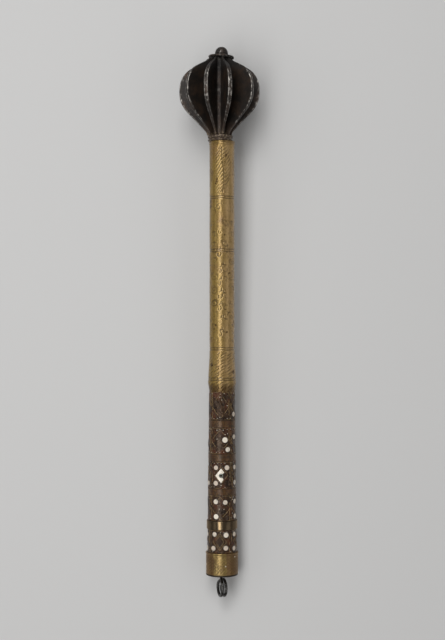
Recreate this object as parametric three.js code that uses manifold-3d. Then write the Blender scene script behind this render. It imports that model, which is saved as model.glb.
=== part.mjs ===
import * as THREE from 'three';
import { mergeVertices } from 'three/addons/utils/BufferGeometryUtils.js';
import Module from 'manifold-3d';

const wasm = await Module();
wasm.setup();

// Sizes in millimetres. A station is a distance along the mace from the flat end of its cap towards
// the head. Angles turn about the mace from straight up towards +X.
const clearance = 0.3;
const roundSteps = 24;

const capRadius = 18.6;
const capLip = 0.4;
const capBevel = 1.7;
const capTop = 27;
const capSeat = 25;
const shankSocket = 8;

const gripStart = 25.3;
const gripEnd = 213;
const gripButtRadius = 17;
const gripTopRadius = 14.9;
const bandInset = 1.3;
const gripBands = [
  { from: 54, to: 64, proud: 1.15 },
  { from: 94, to: 101, proud: 0.12 },
  { from: 133, to: 141, proud: 0.12 },
  { from: 172, to: 180, proud: 0.12 },
];

const inlayProud = 0.3;
const inlayDepth = 1.0;
const inlaySides = 8;
// Pearl discs still in place, as station, angle and radius: those seen from above, then the far side.
const pearlDiscs = [
  [187.0, 63, 3.0],
  [157.7, 15.5, 3.5],
  [146.6, 27.6, 3.1],
  [160.8, 64, 3.0],
  [125.7, -22.8, 2.9],
  [125.8, 23.8, 3.15],
  [125.8, 66.4, 3.0],
  [107.9, -23.2, 3.1],
  [108.2, 66.4, 3.0],
  [107.4, -66.6, 2.9],
  [86.6, -22.6, 3.05],
  [85.9, 16.0, 2.95],
  [86.4, 64.4, 3.0],
  [69.5, -21.2, 3.2],
  [69.3, 65.2, 3.0],
  [49.0, -27.6, 2.95],
  [48.4, 18.9, 3.25],
  [48.6, 59.2, 3.0],
  [32.8, -32.4, 3.15],
  [33.4, 18.0, 3.05],
  [32.4, 57, 3.0],
  [48.0, -73.6, 2.9],
  [32.2, -73.4, 2.9],
  [48.6, 110, 3.0],
  [32.6, 110, 3.0],
  [48.6, -118, 3.0],
  [32.6, -118, 3.0],
  [32.6, 152, 3.0],
  [32.6, -160, 3.0],
  [86.2, 112, 3.0],
  [69.4, 112, 3.0],
  [86.2, -116, 3.0],
  [125.8, 114, 3.0],
  [125.8, -114, 3.0],
  [108.0, -160, 3.0],
];
// Round sockets whose discs are lost.
const emptySockets = [
  [205.2, 17.6, 3.0],
  [191.4, 18.8, 3.0],
  [108.0, 21.5, 3.0],
  [69.2, 17.1, 3.0],
];
const lozenge = { station: 116.6, angle: -0.7, halfWidth: 6.9, halfLength: 8.4, eye: 2.1 };

const shaftStart = 213.3;
const shaftEnd = 503.2;
const shaftRadius = 14.5;
const mouthRadius = 16.3;
const mouthStation = 222;
const flareEnd = 266;
const lineDepth = 0.35;
const shaftLines = [376.3, 437.4];
const neckBeads = [499.9, 502.2];
const neckBeadRise = 0.6;

const headShift = -3;
const collarStart = 503.6;
const collarEnd = 510.1;
const coreRadius = 9.3;
const coreStart = 510.5;
const coreEnd = 599.5;
const flangeCount = 10;
// Degrees by which the forged flanges stand off an even spacing, in their order round the core.
const flangeLean = [0.4, 4.5, 0, 0, 0, 0, 0, 0, 3.2, 1.6];
const flangeRootThickness = 2.0;
const flangeRimThickness = 4.7;
const flangeWidest = 46.7;
const flangeBottom = 510.6;
const flangeTop = 599.1;
const flangeFoot = [
  [14.4, flangeBottom],
  [14.8, 512.4],
];
// The rim of a flange from its foot to its top, as radius and station.
const flangeRim = [
  [15.6, 514.2],
  [17.8, 516.7],
  [24.4, 523.7],
  [31.2, 530.7],
  [37.9, 537.6],
  [41.5, 542.3],
  [44.0, 546.9],
  [45.8, 551.6],
  [46.55, 556.2],
  [46.7, 562.0],
  [46.4, 567.9],
  [45.3, 572.5],
  [43.4, 577.2],
  [41.3, 580.5],
  [38.2, 584.1],
  [34.3, 587.1],
  [30.1, 589.6],
  [25.8, 591.8],
  [20.8, 594.3],
  [17.0, 596.5],
  [14.4, flangeTop],
];
const rimSteps = 22;

const coverShift = -0.9;
const coverStation = 600.3;
const coverTilt = 3.2;
const discRadius = 14.9;
const discThickness = 2.3;
const discDish = 0.5;
const knobHeight = 10.7;
const knobRadius = 7.7;

const loopRadius = 9.3;
const loopWire = 1.7;
const loopSpacing = 4.2;
const loopCentre = -15.2;
const loopTurn = 20.5;

const restTilt = 2.705;
const flangeFlat = 0.4455;

const degrees = Math.PI / 180;

const finish = (color, roughness, metalness) =>
  new THREE.MeshStandardMaterial({ color, roughness, metalness });
const blackenedSteel = finish(0x3a3632, 0.5, 0.9);
const gilt = finish(0x8f7440, 0.38, 1.0);
const shell = finish(0x3f2f24, 0.35, 0.0);
const brass = finish(0x75592f, 0.4, 1.0);
const pearl = finish(0xd8cfc2, 0.3, 0.0);
const iron = finish(0x46423f, 0.55, 0.9);

const mace = new THREE.Group();
mace.name = 'mace';

// A closed solid from a geometry, without the triangles that collapse on the axis.
function solidOf(geometry) {
  const bare = geometry.clone();
  bare.deleteAttribute('normal');
  bare.deleteAttribute('uv');
  const merged = mergeVertices(bare, 1e-3);
  const corners = merged.index.array;
  const kept = [];
  for (let i = 0; i < corners.length; i += 3) {
    const [a, b, c] = [corners[i], corners[i + 1], corners[i + 2]];
    if (a !== b && b !== c && c !== a) kept.push(a, b, c);
  }
  const vertProperties = new Float32Array(merged.attributes.position.array);
  const triVerts = new Uint32Array(kept);
  return new wasm.Manifold(new wasm.Mesh({ numProp: 3, vertProperties, triVerts }));
}

function geometryOf(solid) {
  const mesh = solid.getMesh();
  const points = new Float32Array(mesh.numVert * 3);
  for (let i = 0; i < mesh.numVert; i++) {
    points.set(mesh.vertProperties.subarray(i * mesh.numProp, i * mesh.numProp + 3), i * 3);
  }
  const geometry = new THREE.BufferGeometry();
  geometry.setAttribute('position', new THREE.BufferAttribute(points, 3));
  geometry.setIndex(new THREE.BufferAttribute(new Uint32Array(mesh.triVerts), 1));
  return geometry;
}

function addPiece(name, geometry, material, shift = 0) {
  const piece = new THREE.Mesh(geometry, material);
  piece.name = name;
  piece.position.x = shift;
  mace.add(piece);
  return piece;
}

// A profile of radius and station pairs, turned once about the mace's axis.
function turned(profile, steps = roundSteps) {
  const points = profile.map(([radius, station]) => new THREE.Vector2(radius, station));
  return new THREE.LatheGeometry(points, steps);
}

// A geometry built along +Z at the axis, carried out to an angle and a station.
function placed(geometry, station, angle) {
  return geometry.rotateY(angle * degrees).translate(0, station, 0);
}

function gripRadius(station) {
  const share = (station - capTop) / (gripEnd - capTop);
  return gripButtRadius + (gripTopRadius - gripButtRadius) * share;
}

// The floor in the mace's own frame: a slab whose top face the mace lies on.
const sinTilt = Math.sin(restTilt * degrees);
const cosTilt = Math.cos(restTilt * degrees);
const lowAngle = (180 / flangeCount) * degrees;
function flangeThickness(radius) {
  const share = (radius - coreRadius) / (flangeWidest - coreRadius);
  return flangeRootThickness + (flangeRimThickness - flangeRootThickness) * share;
}
function flangeLow([radius, station]) {
  const depth = radius * Math.cos(lowAngle) + (flangeThickness(radius) / 2) * Math.sin(lowAngle);
  return depth * cosTilt - station * sinTilt;
}
const axisHeight = Math.max(...flangeRim.map(flangeLow)) - flangeFlat;
const floorSlab = solidOf(
  new THREE.BoxGeometry(400, 1600, 200)
    .translate(0, 0, -100 - axisHeight)
    .rotateX(-restTilt * degrees),
);

// End cap, with a raised lip and a socket for the loop's shank.
const capProfile = [
  [0, shankSocket],
  [loopWire + 0.35, shankSocket],
  [loopWire + 0.35, 0],
  [capRadius - capBevel, 0],
  [capRadius - 0.4, 0.55],
  [capRadius, capBevel],
  [capRadius, capTop - 1.7],
  [capRadius + capLip, capTop - 1.3],
  [capRadius + capLip, capTop - 0.3],
  [capRadius + capLip - 0.3, capTop],
  [gripButtRadius + 0.45, capTop],
  [gripButtRadius + 0.45, capSeat],
  [0, capSeat],
];
addPiece('end_cap', geometryOf(solidOf(turned(capProfile)).subtract(floorSlab)), brass);

// Grip, tapered, with a channel for each band and a socket for each inlay.
const gripProfile = [[0, gripStart], [gripRadius(gripStart), gripStart]];
for (const { from, to } of gripBands) {
  gripProfile.push([gripRadius(from), from - clearance]);
  gripProfile.push([gripRadius(from) - bandInset, from - clearance]);
  gripProfile.push([gripRadius(to) - bandInset, to + clearance]);
  gripProfile.push([gripRadius(to), to + clearance]);
}
gripProfile.push([gripTopRadius, gripEnd], [0, gripEnd]);

function roundInlay(station, angle, radius, low, high) {
  const middle = gripRadius(station) + (low + high) / 2;
  const disc = new THREE.CylinderGeometry(radius, radius, high - low, inlaySides);
  return placed(disc.rotateX(90 * degrees).translate(0, 0, middle), station, angle);
}
let gripSolid = solidOf(turned(gripProfile));
for (const [station, angle, radius] of [...pearlDiscs, ...emptySockets]) {
  const socket = roundInlay(station, angle, radius + clearance, -inlayDepth - clearance, 4);
  gripSolid = gripSolid.subtract(solidOf(socket));
}

// The lozenge is broken: its right corner is gone as far as the eye in its middle.
const eyeArc = [];
for (let turn = 50; turn <= 310; turn += 52) {
  const x = lozenge.eye * Math.cos(turn * degrees);
  const y = lozenge.eye * Math.sin(turn * degrees);
  eyeArc.push(new THREE.Vector2(x, y));
}
const brokenOutline = [
  new THREE.Vector2(0, -lozenge.halfLength),
  new THREE.Vector2(2.7, -4.4),
  ...eyeArc.reverse(),
  new THREE.Vector2(3.5, 3.9),
  new THREE.Vector2(0, lozenge.halfLength),
  new THREE.Vector2(-lozenge.halfWidth, 0),
];
const wide = lozenge.halfWidth + 2 * clearance;
const long = lozenge.halfLength + 2 * clearance;
const socketOutline = [
  new THREE.Vector2(0, -long),
  new THREE.Vector2(wide, 0),
  new THREE.Vector2(0, long),
  new THREE.Vector2(-wide, 0),
];
function curvedInlay(outline, low, high) {
  const radius = gripRadius(lozenge.station);
  const prism = new THREE.ExtrudeGeometry(new THREE.Shape(outline), { depth: 9, bevelEnabled: false });
  const cut = solidOf(placed(prism.translate(0, 0, radius - 6), lozenge.station, lozenge.angle));
  const ring = [
    [radius + low, lozenge.station - 20],
    [radius + high, lozenge.station - 20],
    [radius + high, lozenge.station + 20],
    [radius + low, lozenge.station + 20],
    [radius + low, lozenge.station - 20],
  ];
  return cut.intersect(solidOf(turned(ring, 2 * roundSteps)));
}
gripSolid = gripSolid.subtract(curvedInlay(socketOutline, -inlayDepth - clearance, 2));
addPiece('grip_body', geometryOf(gripSolid), shell);
addPiece('pearl_lozenge', geometryOf(curvedInlay(brokenOutline, -inlayDepth, inlayProud)), pearl);

pearlDiscs.forEach(([station, angle, radius], i) => {
  const name = 'pearl_' + String(i + 1).padStart(2, '0');
  addPiece(name, roundInlay(station, angle, radius, -inlayDepth, inlayProud), pearl);
});

gripBands.forEach(({ from, to, proud }, i) => {
  const inner = gripRadius(from) - bandInset + clearance;
  const outer = gripRadius((from + to) / 2) + proud;
  const edge = Math.min(0.5, proud / 2);
  const rounded = [
    [outer - edge, from],
    [outer, from + edge],
    [outer, to - edge],
    [outer - edge, to],
  ];
  const square = [
    [outer, from],
    [outer, to],
  ];
  const profile = [[inner, from], ...(proud > 0.5 ? rounded : square), [inner, to], [inner, from]];
  addPiece('grip_band_' + (i + 1), turned(profile), brass);
});

// Gilt shaft, with a flared mouth over the grip, engraved line pairs and two beads at the neck.
const shaftProfile = [
  [0, shaftStart],
  [gripTopRadius, shaftStart],
  [mouthRadius, mouthStation],
  [mouthRadius - 0.15, mouthStation + 4],
  [mouthRadius - 0.75, mouthStation + 16],
  [shaftRadius + 0.3, flareEnd - 14],
  [shaftRadius, flareEnd],
];
for (const station of shaftLines) {
  shaftProfile.push([shaftRadius, station - 1.8]);
  shaftProfile.push([shaftRadius - lineDepth, station - 1]);
  shaftProfile.push([shaftRadius, station]);
  shaftProfile.push([shaftRadius - lineDepth, station + 1]);
  shaftProfile.push([shaftRadius, station + 1.8]);
}
for (const station of neckBeads) {
  shaftProfile.push([shaftRadius, station - 1]);
  shaftProfile.push([shaftRadius + neckBeadRise, station]);
}
shaftProfile.push([shaftRadius - 0.2, shaftEnd], [0, shaftEnd]);
addPiece('gilt_shaft', turned(shaftProfile), gilt);

// Head: stepped collar, core tube, flanges, cover disc and knob.
const collarProfile = [
  [0, collarStart],
  [13.3, collarStart],
  [13.9, collarStart + 0.5],
  [13.9, collarStart + 1.5],
  [13.3, collarStart + 2],
  [13.5, collarStart + 3],
  [14.4, collarStart + 3.5],
  [14.6, collarEnd - 0.5],
  [14.2, collarEnd],
  [0, collarEnd],
];
addPiece('neck_collar', turned(collarProfile), blackenedSteel, headShift * 0.7);

const coreProfile = [[0, coreStart], [coreRadius, coreStart], [coreRadius, coreEnd], [0, coreEnd]];
addPiece('head_core', turned(coreProfile, 30), blackenedSteel, headShift);

// A flange is a wedge plate, thin at the core and thick at its rim, standing along +Z.
function flangeGeometry() {
  const curve = new THREE.SplineCurve(flangeRim.map(([r, s]) => new THREE.Vector2(r, s)));
  const inner = coreRadius + clearance;
  const outline = [
    new THREE.Vector2(inner, flangeBottom),
    ...flangeFoot.map(([r, s]) => new THREE.Vector2(r, s)),
    ...curve.getSpacedPoints(rimSteps),
    new THREE.Vector2(inner, flangeTop),
  ];
  const count = outline.length;
  const points = [];
  for (const side of [-0.5, 0.5]) {
    for (const p of outline) points.push(side * flangeThickness(p.x), p.y, p.x);
  }
  const index = [];
  for (const [a, b, c] of THREE.ShapeUtils.triangulateShape(outline, [])) {
    index.push(a, b, c, count + c, count + b, count + a);
  }
  for (let i = 0; i < count; i++) {
    const j = (i + 1) % count;
    index.push(j, i, count + i, j, count + i, count + j);
  }
  const geometry = new THREE.BufferGeometry();
  geometry.setAttribute('position', new THREE.Float32BufferAttribute(points, 3));
  geometry.setIndex(index);
  return geometry;
}
for (let i = 0; i < flangeCount; i++) {
  const angle = (i + 0.5) * (360 / flangeCount) + flangeLean[i];
  const solid = solidOf(placed(flangeGeometry(), 0, angle)).subtract(floorSlab);
  addPiece('flange_' + String(i + 1).padStart(2, '0'), geometryOf(solid), blackenedSteel, headShift);
}

// The cover disc sits a little askew, and the knob with it. Its rim is rolled over a shallow dish.
const discProfile = [
  [0, 0],
  [discRadius - 0.8, 0],
  [discRadius, discThickness * 0.35],
  [discRadius, discThickness * 0.65],
  [discRadius - 0.8, discThickness],
  [discRadius - 2.2, discThickness],
  [discRadius - 3, discThickness - discDish],
  [0, discThickness - discDish],
];
const knobBase = discThickness - discDish + clearance;
const knobProfile = [
  [0, knobBase],
  [knobRadius - 0.6, knobBase],
  [knobRadius, knobBase + 0.6],
  [knobRadius, knobBase + 1.6],
  [knobRadius - 0.6, knobBase + 2.2],
];
for (let turn = 12; turn < 90; turn += 19.5) {
  const radius = (knobRadius - 0.2) * Math.cos(turn * degrees);
  const rise = (knobHeight - 2.2) * Math.sin(turn * degrees);
  knobProfile.push([radius, knobBase + 2.2 + rise]);
}
knobProfile[knobProfile.length - 1] = [0, knobBase + knobHeight];
const covers = [
  addPiece('top_disc', turned(discProfile), blackenedSteel, coverShift),
  addPiece('finial_knob', turned(knobProfile, 20), blackenedSteel, coverShift),
];
for (const cover of covers) {
  cover.position.y = coverStation;
  cover.rotation.z = -coverTilt * degrees;
}

// Butt loop: one iron wire, from a shank in the cap through two turns side by side.
const loopPath = [
  [0, shankSocket - clearance - 0.2, 0],
  [0, 3, 0],
  [0, -1.4, 0],
  [1.6, -3.5, -0.35 * loopSpacing],
  [4.3, -5.9, -0.47 * loopSpacing],
];
function loopPoint(turn, side) {
  const x = loopRadius * Math.cos(turn * degrees);
  const y = loopCentre + loopRadius * Math.sin(turn * degrees);
  loopPath.push([x, y, side * loopSpacing]);
}
for (let turn = 40; turn >= -200; turn -= 20) loopPoint(turn, -0.5);
loopPoint(-220, -0.28);
loopPoint(-240, 0.12);
for (let turn = -260; turn >= -545; turn -= 19) loopPoint(turn, 0.5);
const across = new THREE.Vector3(Math.sin(loopTurn * degrees), 0, Math.cos(loopTurn * degrees));
const beside = new THREE.Vector3(Math.cos(loopTurn * degrees), 0, -Math.sin(loopTurn * degrees));
const loopCurve = new THREE.CatmullRomCurve3(
  loopPath.map(([u, v, w]) =>
    new THREE.Vector3(0, v, 0).addScaledVector(across, u).addScaledVector(beside, w),
  ),
);
const wireSection = new THREE.Shape().absarc(0, 0, loopWire, 0, 2 * Math.PI);
const wireOptions = { steps: 46, curveSegments: 5, bevelEnabled: false, extrudePath: loopCurve };
addPiece('butt_loop', new THREE.ExtrudeGeometry(wireSection, wireOptions), iron);

// Laid down on the rims of its two lowest flanges and the edge of its cap.
mace.rotation.x = restTilt * degrees;
mace.position.z = axisHeight;
mace.updateMatrixWorld(true);
const extent = new THREE.Box3().setFromObject(mace, true);
mace.position.x -= (extent.min.x + extent.max.x) / 2;
mace.position.y -= (extent.min.y + extent.max.y) / 2;

const group = new THREE.Group();
group.add(mace);

export default group;
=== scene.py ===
import math
import bpy
import bmesh
import numpy as np
from mathutils import Matrix, Vector


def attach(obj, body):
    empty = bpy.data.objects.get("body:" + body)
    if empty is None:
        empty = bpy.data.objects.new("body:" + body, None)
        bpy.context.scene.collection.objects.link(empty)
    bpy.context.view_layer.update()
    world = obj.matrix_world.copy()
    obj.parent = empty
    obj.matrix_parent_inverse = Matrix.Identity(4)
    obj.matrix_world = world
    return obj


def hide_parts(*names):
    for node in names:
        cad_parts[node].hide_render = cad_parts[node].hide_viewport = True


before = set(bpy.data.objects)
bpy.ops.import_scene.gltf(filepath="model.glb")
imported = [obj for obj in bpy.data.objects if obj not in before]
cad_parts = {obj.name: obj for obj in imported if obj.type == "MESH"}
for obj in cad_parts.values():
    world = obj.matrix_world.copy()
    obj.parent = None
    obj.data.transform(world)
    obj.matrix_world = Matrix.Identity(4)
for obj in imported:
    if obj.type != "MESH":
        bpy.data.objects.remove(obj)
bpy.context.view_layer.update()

print("frame: loaded", len(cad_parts), "solids")

# The mace's own millimetres: across, along from the cap's flat end, up. It lies tilted on its head.
maceSeat = {"tilt": 0.0472111563, "across": 3.0, "along": -293.0987, "up": 18.2515}
maceMatrix = (
    Matrix.Translation(Vector((maceSeat["across"], maceSeat["along"], maceSeat["up"])) / 1000)
    @ Matrix.Rotation(maceSeat["tilt"], 4, "X")
)
fullTurn = 2 * math.pi


class Wire:  # a node's output that can stand in an expression
    def __init__(self, book, socket):
        self.book = book
        self.socket = socket

    def __add__(self, other):
        return self.book.math("ADD", self, other)

    def __radd__(self, other):
        return self.book.math("ADD", other, self)

    def __sub__(self, other):
        return self.book.math("SUBTRACT", self, other)

    def __rsub__(self, other):
        return self.book.math("SUBTRACT", other, self)

    def __mul__(self, other):
        return self.book.math("MULTIPLY", self, other)

    def __rmul__(self, other):
        return self.book.math("MULTIPLY", other, self)


class NodeBook:  # writes nodes and links into one tree
    def __init__(self, tree):
        self.tree = tree

    def node(self, kind, settings=None, sockets=None, out=0):
        made = self.tree.nodes.new(kind)
        for key, value in (settings or {}).items():
            setattr(made, key, value)
        for key, value in (sockets or {}).items():
            if isinstance(value, Wire):
                self.tree.links.new(value.socket, made.inputs[key])
            else:
                made.inputs[key].default_value = value
        return Wire(self, made.outputs[out]) if len(made.outputs) else made

    def math(self, operation, a, b):
        return self.node("ShaderNodeMath", {"operation": operation}, {0: a, 1: b})

    def step(self, value, low, high):
        sockets = {"Value": value, "From Min": low, "From Max": high}
        return self.node("ShaderNodeMapRange", {"interpolation_type": "SMOOTHSTEP"}, sockets)


class Finish(NodeBook):  # one procedural material
    def __init__(self, name):
        self.material = bpy.data.materials.new(name)
        self.material.use_nodes = True
        NodeBook.__init__(self, self.material.node_tree)
        self.tree.nodes.clear()
        self.here = self.node("ShaderNodeTexCoord", out="Object")

    def noise(self, scale, detail, roughness, where=None, distortion=0.0):
        sockets = {"Vector": where or self.here, "Scale": scale, "Detail": detail}
        sockets.update({"Roughness": roughness, "Distortion": distortion})
        return self.node("ShaderNodeTexNoise", {}, sockets)

    def stretched(self, across, along, up):  # scaled differently each way
        return self.node("ShaderNodeMapping", {}, {"Vector": self.here, "Scale": (across, along, up)})

    def field(self, name):  # a number that the mesh carries
        return self.node("ShaderNodeAttribute", {"attribute_name": name}, {}, "Fac")

    def layers(self, look, first, *coats):  # colours laid one over another, each with its share
        colour = (*look[first], 1)
        for name, share in coats:
            sockets = {0: share, 6: colour, 7: (*look[name], 1)}
            colour = self.node("ShaderNodeMix", {"data_type": "RGBA"}, sockets, 2)
        return colour

    def bump(self, height, strength, distance):
        return self.node("ShaderNodeBump", {}, {"Strength": strength, "Distance": distance, "Height": height})

    def surface(self, sockets):
        shader = self.node("ShaderNodeBsdfPrincipled", {}, sockets)
        self.node("ShaderNodeOutputMaterial", {}, {"Surface": shader})
        return self.material


class PieceTree(NodeBook):  # one geometry tree with named inputs
    def __init__(self, name, inputs):
        NodeBook.__init__(self, bpy.data.node_groups.new(name, "GeometryNodeTree"))
        face = self.tree.interface
        face.new_socket("Geometry", in_out="OUTPUT", socket_type="NodeSocketGeometry")
        face.new_socket("Geometry", in_out="INPUT", socket_type="NodeSocketGeometry")
        for label, kind in inputs.items():
            face.new_socket(label, in_out="INPUT", socket_type="NodeSocket" + kind)
        self.given = self.tree.nodes.new("NodeGroupInput")

    def input(self, label):
        return Wire(self, self.given.outputs[label])

    def named(self, label, kind="FLOAT"):  # what a point carries under this name
        return self.node("GeometryNodeInputNamedAttribute", {"data_type": kind}, {"Name": label})

    def form(self):  # the object given to be repeated
        sockets = {"Object": self.input("Form"), "As Instance": True}
        return self.node("GeometryNodeObjectInfo", {}, sockets, "Geometry")

    def roughen(self, geometry, scale):  # pushes points about by the inputs Uneven and Seed
        place = self.node("GeometryNodeInputPosition")
        cloud = self.node("ShaderNodeTexNoise", {"noise_dimensions": "4D"}, {
            "Vector": place, "W": self.input("Seed"), "Scale": scale, "Detail": 3.0}, "Color")
        centred = self.node("ShaderNodeVectorMath", {"operation": "SUBTRACT"}, {0: cloud, 1: (0.5, 0.5, 0.5)})
        push = self.node("ShaderNodeVectorMath", {"operation": "SCALE"}, {
            0: centred, "Scale": self.input("Uneven")})
        return self.node("GeometryNodeSetPosition", {}, {"Geometry": geometry, "Offset": push})

    def close(self, geometry):  # ends the tree
        whole = self.node("GeometryNodeRealizeInstances", {}, {"Geometry": geometry})
        dressed = self.node("GeometryNodeSetMaterial", {}, {
            "Geometry": whole, "Material": self.input("Finish")})
        self.node("NodeGroupOutput", {}, {"Geometry": dressed})

    def grow(self, name, mesh, values):  # a plain mesh made by the tree
        piece = newObject(name, mesh)
        modifier = piece.modifiers.new("tree", "NODES")
        modifier.node_group = self.tree
        for item in self.tree.interface.items_tree:
            if item.in_out == "INPUT" and item.name in values:
                modifier[item.identifier] = values[item.name]
        graph = bpy.context.evaluated_depsgraph_get()
        plain = bpy.data.meshes.new_from_object(piece.evaluated_get(graph), depsgraph=graph)
        piece.modifiers.clear()
        piece.data = plain
        return piece


def newObject(name, data):  # made and put in the scene
    made = bpy.data.objects.new(name, data)
    bpy.context.collection.objects.link(made)
    return made


def addField(mesh, label, values, kind="FLOAT"):  # a number or a vector for every point
    layer = mesh.attributes.new(label, kind, "POINT")
    layer.data.foreach_set("value" if kind == "FLOAT" else "vector", np.asarray(values, np.float32).ravel())


def makeMesh(name, points, faces, fields):  # points in mace millimetres, faces in groups of one size
    mesh = bpy.data.meshes.new(name)
    sizes = [len(face) for group in faces for face in group]
    corners = np.concatenate([np.asarray(group, np.int32).ravel() for group in faces])
    mesh.vertices.add(len(points))
    mesh.vertices.foreach_set("co", (np.asarray(points, np.float32) / 1000).ravel())
    mesh.loops.add(len(corners))
    mesh.loops.foreach_set("vertex_index", corners)
    mesh.polygons.add(len(sizes))
    starts = np.concatenate([[0], np.cumsum(sizes)[:-1]]).astype(np.int32)
    mesh.polygons.foreach_set("loop_start", starts)
    mesh.update(calc_edges=True)
    mesh.validate()
    for label, values in fields.items():
        addField(mesh, label, values)
    return mesh


def turnOut(mesh):  # faces outwards
    work = bmesh.new()
    work.from_mesh(mesh)
    bmesh.ops.recalc_face_normals(work, faces=work.faces)
    work.to_mesh(mesh)
    work.free()
    mesh.shade_smooth()
    return mesh


def ringQuads(rows, around, closed):  # faces between rows of points, each row a ring
    i, j = np.meshgrid(np.arange(rows if closed else rows - 1), np.arange(around), indexing="ij")
    k, n = (i + 1) % rows, (j + 1) % around
    return np.stack([i * around + j, i * around + n, k * around + n, k * around + j], -1).reshape(-1, 4)


def ringAngles(around):
    return np.arange(around) * fullTurn / around


def placeOf(radius, angle, station):  # points in mace millimetres
    return np.stack([radius * np.sin(angle), station + 0 * angle, radius * np.cos(angle)], -1)


def unit(value):  # held between 0 and 1
    return np.clip(value, 0, 1)


def apart(angle, centre):  # signed degrees between angles in radians and a centre in degrees
    return (np.degrees(angle) - centre + 180) % 360 - 180


def turnedMesh(name, profile, around, lift=None, fields=None, shift=0.0):
    profile = np.asarray(profile, float)  # radius and station pairs, from pole to pole or a closed ring
    startPole = profile[0, 0] < 1e-6
    endPole = profile[-1, 0] < 1e-6
    rings = profile[(1 if startPole else 0):(-1 if endPole else None)]
    radius = np.repeat(rings[:, :1], around, 1)
    station = np.repeat(rings[:, 1:], around, 1)
    turn = np.repeat(ringAngles(around)[None], len(rings), 0)
    raised = radius + (lift(turn, station) if lift else 0)
    points = placeOf(raised, turn, station).reshape(-1, 3)
    values = {label: maker(turn, station).ravel() for label, maker in (fields or {}).items()}
    faces = [ringQuads(len(rings), around, not startPole and not endPole)]
    for pole, ring, present in ((profile[0], 0, startPole), (profile[-1], len(rings) - 1, endPole)):
        if not present:
            continue
        tip = len(points)
        points = np.vstack([points, [[0, pole[1], 0]]])
        values = {label: np.append(old, 0.0) for label, old in values.items()}
        edge = ring * around + np.arange(around)
        faces.append(np.stack([edge, np.roll(edge, -1), np.full(around, tip)], -1))
    points[:, 0] += shift
    return turnOut(makeMesh(name, points, faces, values))


def dense(corners, spacing):  # a profile with points no further apart than spacing
    corners = np.asarray(corners, float)
    line = [corners[0]]
    for a, b in zip(corners[:-1], corners[1:]):
        count = max(1, int(math.ceil(np.linalg.norm(b - a) / spacing)))
        line.extend(a + (b - a) * t for t in np.arange(1, count + 1) / count)
    return np.array(line)


def smoothLine(points, count):  # a soft curve through points
    points = np.asarray(points, float)
    padded = np.vstack([2 * points[0] - points[1], points, 2 * points[-1] - points[-2]])
    line = []
    for s in np.linspace(0, len(points) - 1 - 1e-9, count * 6):
        i, t = int(s), s - int(s)
        p0, p1, p2, p3 = padded[i:i + 4]
        line.append(0.5 * (2 * p1 + (p2 - p0) * t + (2 * p0 - 5 * p1 + 4 * p2 - p3) * t * t
                           + (3 * p1 - p0 - 3 * p2 + p3) * t ** 3))
    line = np.array(line)
    run = np.concatenate([[0], np.cumsum(np.linalg.norm(np.diff(line, axis=0), axis=1))])
    even = np.linspace(0, run[-1], count)
    return np.stack([np.interp(even, run, line[:, c]) for c in range(line.shape[1])], 1)


def waves(seed, count, roughest):  # gentle unevenness over angle and station
    local = np.random.default_rng(seed)
    turns = local.integers(1, 7, count)
    runs = local.uniform(0.01, roughest, count) * fullTurn
    phases = local.uniform(0, fullTurn, count)
    return lambda angle, station: sum(
        np.sin(t * angle + r * station + p) for t, r, p in zip(turns, runs, phases)) / math.sqrt(count)


def movePoints(mesh, move):  # move takes and gives points in metres
    spots = np.empty(len(mesh.vertices) * 3, np.float32)
    mesh.vertices.foreach_get("co", spots)
    mesh.vertices.foreach_set("co", move(spots.reshape(-1, 3)).ravel().astype(np.float32))
    mesh.update()


def pressFlat(spots):  # the small flat spots it lies on
    spots[:, 2] = np.maximum(spots[:, 2], 0)
    return spots


def seatPiece(piece, slotName, *nodes):  # carried to its place in the frame
    piece.data.transform(maceMatrix)
    movePoints(piece.data, pressFlat)
    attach(piece, "root")
    if nodes:
        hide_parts(*nodes)


def addPiece(name, mesh, finish, slotName, *nodes):
    mesh.materials.clear()
    mesh.materials.append(finish)
    seatPiece(newObject(name, mesh), slotName, *nodes)


# Camera, straight above the mace's axis and turned a little about it.
cameraPlan = {"lens": 72.0, "sensor": 36, "distance": 1488.0, "roll": 3.0, "station": 295.8, "across": 0.55}


def makeCamera(plan):
    roll = math.radians(plan["roll"])
    right = Vector((math.cos(roll), 0, -math.sin(roll)))
    up = Vector((0, 1, 0))
    back = Vector((math.sin(roll), 0, math.cos(roll)))
    spot = up * plan["station"] + right * plan["across"] + back * plan["distance"]
    turn = Matrix((right, up, back)).transposed().to_4x4()
    data = bpy.data.cameras.new("camera")
    data.lens = plan["lens"]
    data.sensor_width = plan["sensor"]
    data.clip_end = 20
    camera = newObject("camera", data)
    camera.matrix_world = maceMatrix @ Matrix.Translation(spot / 1000) @ turn
    bpy.context.scene.camera = camera


makeCamera(cameraPlan)
print("camera: set")

# Finishes. The head's spans are metres along the frame, where each tone starts and ends.
# The darkest colour, laid between its two spans near the top, is painted shade under the cover disc.
steelLook = {
    "name": "blackenedSteel", "speckle": 1.0,
    "dark": (0.017, 0.0135, 0.011), "brown": (0.046, 0.028, 0.018), "bright": (0.36, 0.335, 0.305),
    "foot": (0.058, 0.036, 0.024), "underDiscShade": (0.005, 0.004, 0.003), "gold": (0.38, 0.29, 0.18),
    "footSpan": (0.236, 0.213), "underDiscShadeSpan": (0.286, 0.298), "underDiscShadeEnd": (0.307, 0.306),
    "goldSpan": (0.226, 0.214),
}
tubeLook = dict(steelLook, name="tubeSteel", speckle=0.3)


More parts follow.
